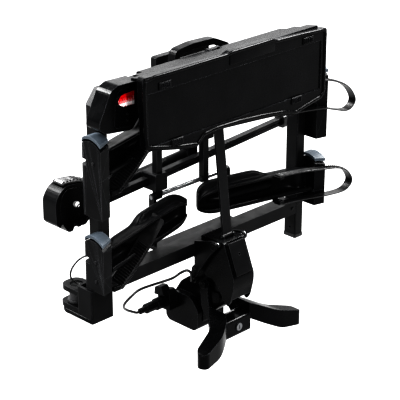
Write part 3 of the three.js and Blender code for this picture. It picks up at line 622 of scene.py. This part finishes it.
def slant_strap(level):
    """The strap that runs down across the left tray, and the catch at its foot."""
    rise = RISE[level]
    node = f"tray_{level}_left"
    top = (-138.0, 287.0)
    foot = (-300.0, 194.0)
    points = []
    count = 9
    for i in range(count):
        t = i / (count - 1)
        x = top[0] + (foot[0] - top[0]) * t
        z = top[1] + (foot[1] - top[1]) * t
        bow = 3.5 * math.sin(math.pi * t)
        points.append((x, front_at(-x) + 3.0 - bow, z + rise - 2.0 * math.sin(math.pi * t)))
    direction = Vector((foot[0] - top[0], 0, foot[1] - top[1])).normalized()
    lean = math.radians(STRAP_LEAN)
    width_dir = (direction.cross(Vector((0, 1, 0))) * math.cos(lean)
                 + Vector((0, -1, 0)) * math.sin(lean))
    band = toothed_band(points, lambda at: Vector((-0.5, 0, 1)), width_dir, 34.0, 2.4, 3.0, 6.6,
                        (0.4, 0.97))
    new_piece(f"strap_{level}_left_toothed", band, "soft_rubber", node,
              (f"strap_{level}_left",), smooth=False)
    # Moulded catch that the strap's foot tucks into.
    x, z = foot
    catch = rounded_box((x - 13.0, front_at(-x) - 6.4, z - 9.0 + rise),
                        (x + 15.0, front_at(-x) + 1.0, z + 2.0 + rise), 2.2)
    new_piece(f"strap_catch_{level}_left", catch, "black_plastic", node)


def loop_strap(level, sag):
    """The strap that loops out past the right tray's end, and its two anchors."""
    rise = RISE[level]
    node = f"tray_{level}_right"
    route = [
        (206, 291.8), (262, 290.5), (318, 285.5), (358, 281 - sag * 0.4), (386, 270 - sag * 0.8),
        (402, 246 - sag), (396, 228 - sag), (378, 219 - sag * 0.9), (342, 217.5 - sag * 0.3),
        (318, 218.5), (262, 221.5), (206, 222.2),
    ]
    points = [(x, front_at(x) - 11.0, z + rise) for x, z in route]
    middle = Vector((320.0, -110.0, 252.0 + rise - sag * 0.6))
    band = toothed_band(points, lambda at: at - middle, (0, 1, 0), 20.0, 2.2, 2.0, 5.6,
                        (0.02, 0.46))
    new_piece(f"strap_{level}_right_toothed", band, "soft_rubber", node,
              (f"strap_{level}_right",), smooth=False)
    anchors = []
    for z0, z1 in ((283.5, 290.2), (223.8, 230.5)):
        anchors.append(rounded_box((203.0, front_at(211) - 21.0, z0 + rise),
                                   (219.0, front_at(211) + 3.0, z1 + rise), 1.8))
        anchors.append(screw((211.0, front_at(211) - 11.0, z1 + rise), (0, 0, 1), 3.4))
    new_piece(f"strap_anchors_{level}", merged(anchors), "black_plastic", node)


STRAP_SAG = {"lower": 0.0, "upper": 18.0}
for level in ("lower", "upper"):
    for side in ("left", "right"):
        build_tray(side, level)
    slant_strap(level)
    loop_strap(level, STRAP_SAG[level])

# ---------------------------------------------------------------- plate holder and lamps
PLATE_FACE = -145.0


def plate_trim():
    """Four ribbed clips and a raised panel over the plate, then a rolled rim round the holder."""
    parts = []
    for x, z in ((-214, 626), (214, 626), (-181, 498), (181, 498)):
        parts.append(rounded_box((x - 17, PLATE_FACE - 2.6, z - 7.5),
                                 (x + 17, PLATE_FACE + 1.0, z + 7.5), 1.6))
        for k in range(5):
            left = x - 12.6 + 5.6 * k
            parts.append(rounded_box((left, PLATE_FACE - 4.4, z - 5.5),
                                     (left + 2.6, PLATE_FACE - 2.0, z + 5.5), 0.9))
    parts.append(rounded_box((-30, PLATE_FACE - 1.8, 624), (108, PLATE_FACE + 1.5, 648.5), 2.4))
    new_piece("plate_trim", merged(parts), "gloss_plastic", "light_unit")
    rim = [
        (-266, 645), (-240, 648), (-140, 647.5), (-36, 647.5), (-24, 650), (98, 650), (112, 645),
        (200, 641.5), (264, 638), (271.5, 630), (272, 560), (271, 496), (262, 486), (200, 474),
        (180, 470), (140, 480), (82, 487.5), (0, 495), (-66, 497), (-104, 493), (-124, 477),
        (-180, 486), (-250, 503), (-262, 508), (-266.5, 530), (-268, 580), (-269, 630), (-266, 645),
    ]
    points = []
    for (x0, z0), (x1, z1) in zip(rim, rim[1:]):
        steps = max(1, round(math.hypot(x1 - x0, z1 - z0) / 12))
        points += [(x0 + (x1 - x0) * t / steps, PLATE_FACE + 0.6, z0 + (z1 - z0) * t / steps)
                   for t in range(steps)]
    new_piece("plate_rim", tube(points + points[:1], 4.2, 12, 2.5), "gloss_plastic", "light_unit")


def lamp_trim(side):
    """A rim round the lens window, reflector facets in it and two screws below them."""
    sign = SIGN[side]
    rim = [(612.5, 244.5), (609.6, 286.0), (595, 297.0), (580, 281.0), (577.8, 244.5)]
    points = [(sign * x, -93.6, z) for z, x in rim]
    new_piece(f"lamp_rim_{side}", tube(points, 1.3, 8, 2.0), "gloss_plastic", "light_unit")
    parts = []
    for k in range(6):
        x = 252.0 + 6.2 * k
        lean = 3.5 - 1.0 * (k % 2)
        parts.append(rounded_box((min(sign * x, sign * (x + 4.6)), -92.6, 588.0 - lean),
                                 (max(sign * x, sign * (x + 4.6)), -90.4, 599.0 + 0.6 * k), 1.0))
    new_piece(f"lamp_facets_{side}", merged(parts), "red_lens", "light_unit")
    screws = [screw((sign * 268.0, -93.0, z), (0, -1, 0), 3.2) for z in (552.0, 566.0)]
    new_piece(f"lamp_screws_{side}", merged(screws), "black_coat", "light_unit")


plate_trim()
lamp_trim("left")
lamp_trim("right")


# ---------------------------------------------------------------- screws and caps
def pin_cap(centre, sign, radius):
    """Moulded cap pushed over a pin's end."""
    return lathe([(radius * 0.98, -1.6), (radius, -0.8), (radius * 0.96, 0.3), (radius * 0.8, 0.9),
                  (radius * 0.35, 1.3), (radius * 0.3, 0.7), (radius * 0.1, 0.6)],
                 centre, (sign, 0, 0), 24)


CAP_RADIUS = 9.6


def fasteners():
    """Caps on the fold and lever pins, and the screws of the platform frame."""
    caps = [pin_cap((sign * 49.2, -118.0, 211.0), sign, CAP_RADIUS) for sign in (-1, 1)]
    new_piece("fold_pin_caps", merged(caps), "black_plastic", "coupling")
    caps = [pin_cap((sign * 42.2, -78.0, 104.0), sign, CAP_RADIUS) for sign in (-1, 1)]
    new_piece("lever_pin_caps", merged(caps), "black_plastic", "coupling")
    heads = []
    for x in (-278.0, 278.0):
        heads.append(screw((x, -57.2, 183.5), (0, -1, 0), 4.4))
        heads.append(screw((x, -75.6, 599.0), (0, -1, 0), 3.6))
    for x in (-78.0, 138.0):
        for z in (186.0, 212.0):
            heads.append(screw((x, 38.2, z), (0, 1, 0), 4.4))
    for sign in (-1, 1):
        for y, z in ((-60.0, 140.0), (-60.0, 170.0)):
            heads.append(screw((sign * 45.2, y, z), (sign, 0, 0), 4.4))
    new_piece("frame_screws", merged(heads), "black_coat", "platform")


fasteners()


ROLLER_X, ROLLER_Y = -323.0, 16.0
FOOT_BLOCK_X = -293.0


def skirt(low, high, reach, edge):
    """Flange round the roller: an arc about its axis, run out to the foot's block."""
    arc = [(ROLLER_X + reach * math.cos(math.radians(a)),
            ROLLER_Y + reach * math.sin(math.radians(a))) for a in range(30, 196, 11)]
    plan = [(FOOT_BLOCK_X, 30.0)] + arc + edge + [(FOOT_BLOCK_X, edge[-1][1])]
    middle_x = sum(x for x, y in plan) / len(plan)
    middle_y = sum(y for x, y in plan) / len(plan)
    rings = []
    for z, keep in ((low, 0.93), (low + 1.2, 0.985), (low + 2.6, 1.0), (high - 2.6, 1.0),
                    (high - 1.2, 0.985), (high, 0.94)):
        rings.append([[middle_x + (x - middle_x) * keep, middle_y + (y - middle_y) * keep, z]
                      for x, y in plan])
    return loft(rings)


def housing_belly():
    """The housing's rounded underside, inside the lever's fork."""
    side = [(-66, 92), (-66, 44), (-72, 37), (-84, 35), (-98, 40), (-110, 50), (-119, 62),
            (-123, 76), (-121, 92)]
    mid_y, mid_z = -94.0, 68.0
    rings = []
    for x, keep in ((-30.5, 0.9), (-29.6, 0.96), (-27.5, 1.0), (27.5, 1.0), (29.6, 0.96),
                    (30.5, 0.9)):
        rings.append([[x, mid_y + (y - mid_y) * keep, mid_z + (z - mid_z) * keep]
                      for y, z in side])
    new_piece("housing_belly", loft(rings), "gloss_plastic", "coupling")


new_piece("foot_skirt", merged([
    skirt(112.4, 122.0, 29.0, [(-351.5, -10.0), (-350.5, -58.0)]),
    skirt(163.5, 171.5, 25.5, [(-345.0, 0.0), (-342.0, -12.0)]),
]), "black_plastic", "platform")
housing_belly()


# ---------------------------------------------------------------- claw
BOSS = 11.5    # radius of the ring moulded on the claw's side


def claw_trim():
    """Rubber pads inside the jaw, a strap ladder over the back and a moulded side rib."""
    spine = [(-254, 43, 376.8), (-276, 43, 386.2), (-298, 43, 395.9), (-316, 43, 398.4),
             (-334, 43, 399.9), (-343, 43, 398.4)]
    ladder = toothed_band(spine, lambda at: Vector((0, 0, 1)), (0, 1, 0), 34.0, 3.4, 3.0, 9.0,
                          (0.04, 0.96))
    new_piece("claw_a_ladder", ladder, "soft_rubber", "claw_a", ("claw_a_strap",), smooth=False)
    parts = []
    for x, z in ((-330, 295.5), (-316, 303.0), (-304, 299.0), (-292, 299.5), (-282, 306.0)):
        parts.append(rounded_box((x - 4.4, 21.0, z - 3.0), (x + 4.4, 65.0, z + 4.5), 1.6))
    new_piece("claw_a_pads", merged(parts), "soft_rubber", "claw_a")
    side = [tube([(-352, 21.6, 330), (-355, 21.4, 352), (-348, 21.2, 376), (-330, 21.2, 388),
                  (-296, 21.2, 380), (-262, 21.4, 364), (-240, 21.6, 352)], 1.8, 8, 2.5)]
    side.append(tube([(-300 + BOSS * math.cos(a / 8 * 2 * math.pi), 21.8,
                       336 + BOSS * math.sin(a / 8 * 2 * math.pi)) for a in range(9)], 1.4, 8, 2.0))
    new_piece("claw_a_rib", merged(side), "gloss_plastic", "claw_a")


claw_trim()


# ---------------------------------------------------------------- free cables
PLUG_ROUTE = [
    (-140.3, 20, 38), (-149, 20, 38.5), (-163, 20, 46), (-180, 18, 57), (-197, 9, 73),
    (-206, -5, 91), (-201, -17, 108), (-186, -21, 118), (-166, -20, 119), (-136, -20, 117),
    (-110, -24, 117), (-90, -34, 122), (-75, -44, 133), (-62, -51, 137), (-53, -54, 129),
    (-50, -53, 117), (-46.5, -50, 107), (-41, -45, 101), (-34.4, -44, 100),
]
LAMP_ROUTE = [
    (-303, -21.7, 238), (-303, -14, 238), (-306, 0, 236.5), (-314, 9, 231), (-327, 13, 222),
    (-338, 14, 209), (-341, 13, 195), (-336, 8, 184), (-331, 0, 180), (-330, -8, 178.3),
    (-330, -13.7, 178),
]


def cable(name, node, route, diameter, body):
    """A cord along a route, in place of the CAD's simple one."""
    line = smooth_path(route, 16)
    rod = tube([tuple(p) for p in line], diameter / 2, 14, 1.6)
    piece = new_piece(name, rod, "soft_rubber", body, (node,))


cable("plug_lead", "plug_cable", PLUG_ROUTE[::-1], 6.0, "coupling")
cable("lamp_lead", "lamp_cable", LAMP_ROUTE, 4.0, "platform")

for name, obj in frame["nodes"].items():
    if name in REPLACED:
        continue
    ease(obj, EDGE_MM.get(name, OTHER_EDGE_MM))
    paint(obj, SLOT_OF[name])


# ---------------------------------------------------------------- stage, light and camera
FLOOR_Z = -0.36
FLOOR_HALF = 60.0       # metres, so that its edge is out of sight
FLOOR_WHITE = (0.86, 0.86, 0.86)
FLOOR_GLOW = 0.92       # the lamps don't light the floor, so it glows evenly instead
WORLD_GLOW = 0.3
AIM = (0.0, -0.05, 0.3)
# name, place, width, power in watts, height
LAMPS = [
    ("back", (2.1, 2.3, 1.7), 2.4, 22.0, 1.4),
    ("left", (-2.9, 0.1, 1.9), 0.5, 50.0, 1.6),
    ("top", (-0.35, 0.45, 2.8), 1.4, 110.0, 0.9),
    ("right_box", (1.95, -0.7, 2.4), 1.5, 190.0, 0.9),
    ("front", (-0.6, -2.9, 2.0), 0.5, 70.0, 1.4),
    ("left_box", (-1.1, 1.93, 2.2), 1.2, 150.0, 0.7),
]
CAMERA_AT = (-2.15533, -2.17943, 1.57043)
AZIMUTH, ELEVATION = -45.077, 22.961


def floor_material(name, colour, rough):
    mat, tree, shader = nodes_of(name)
    drift = noise(tree, 1.5, 3.0)
    light = tuple(min(1.0, c * 1.02) for c in colour)
    base = ramp(tree, drift.outputs["Fac"], [(0.3, colour), (0.7, light)])
    tree.links.new(base.outputs["Color"], shader.inputs["Base Color"])
    shader.inputs["Roughness"].default_value = rough
    shader.inputs["Specular IOR Level"].default_value = 0.2
    tree.links.new(base.outputs["Color"], shader.inputs["Emission Color"])
    shader.inputs["Emission Strength"].default_value = FLOOR_GLOW
    return mat


LIT = bpy.data.collections.new("lit_by_lamps")    # the lamps light these and not the floor
bpy.context.scene.collection.children.link(LIT)
for obj in list(bpy.context.scene.objects):
    if obj.type == "MESH":
        LIT.objects.link(obj)


def floor():
    mesh = bpy.data.meshes.new("floor")
    bm = bmesh.new()
    bmesh.ops.create_grid(bm, x_segments=2, y_segments=2, size=FLOOR_HALF)
    bmesh.ops.translate(bm, verts=bm.verts, vec=(0, 0, FLOOR_Z))
    bm.to_mesh(mesh)
    bm.free()
    obj = bpy.data.objects.new("floor", mesh)
    bpy.context.collection.objects.link(obj)
    obj.data.materials.append(floor_material("floor_white", FLOOR_WHITE, 0.8))


def area_light(name, at, width, power, height):
    """A softbox aimed at the rack, which lights the rack only."""
    data = bpy.data.lights.new(name, "AREA")
    data.energy = power
    data.shape = "RECTANGLE"
    data.size = width
    data.size_y = height
    obj = bpy.data.objects.new(name, data)
    obj.location = at
    direction = Vector(AIM) - Vector(at)
    obj.rotation_euler = direction.to_track_quat("-Z", "Y").to_euler()
    bpy.context.collection.objects.link(obj)
    obj.light_linking.receiver_collection = LIT


def light_and_camera():
    world = bpy.data.worlds.new("studio")
    bpy.context.scene.world = world
    world.use_nodes = True
    bpy.context.scene.view_settings.view_transform = "Standard"
    bpy.context.scene.view_settings.look = "Very High Contrast"
    background = world.node_tree.nodes["Background"]
    background.inputs["Color"].default_value = (1.0, 1.0, 1.0, 1.0)
    background.inputs["Strength"].default_value = WORLD_GLOW
    for lamp in LAMPS:
        area_light(*lamp)

    camera = bpy.data.cameras.new("camera")
    camera.sensor_width = 36.0
    camera.lens = 135.0
    camera.clip_end = 200.0
    obj = bpy.data.objects.new("camera", camera)
    azimuth = math.radians(AZIMUTH)
    elevation = math.radians(ELEVATION)
    back = Vector((math.sin(azimuth) * math.cos(elevation),
                   -math.cos(azimuth) * math.cos(elevation), math.sin(elevation)))
    right = Vector((math.cos(azimuth), math.sin(azimuth), 0.0))
    up = back.cross(right)
    turn = Matrix((right, up, back)).transposed().to_4x4()
    obj.matrix_world = Matrix.Translation(CAMERA_AT) @ turn
    bpy.context.collection.objects.link(obj)
    bpy.context.scene.camera = obj


floor()
light_and_camera()
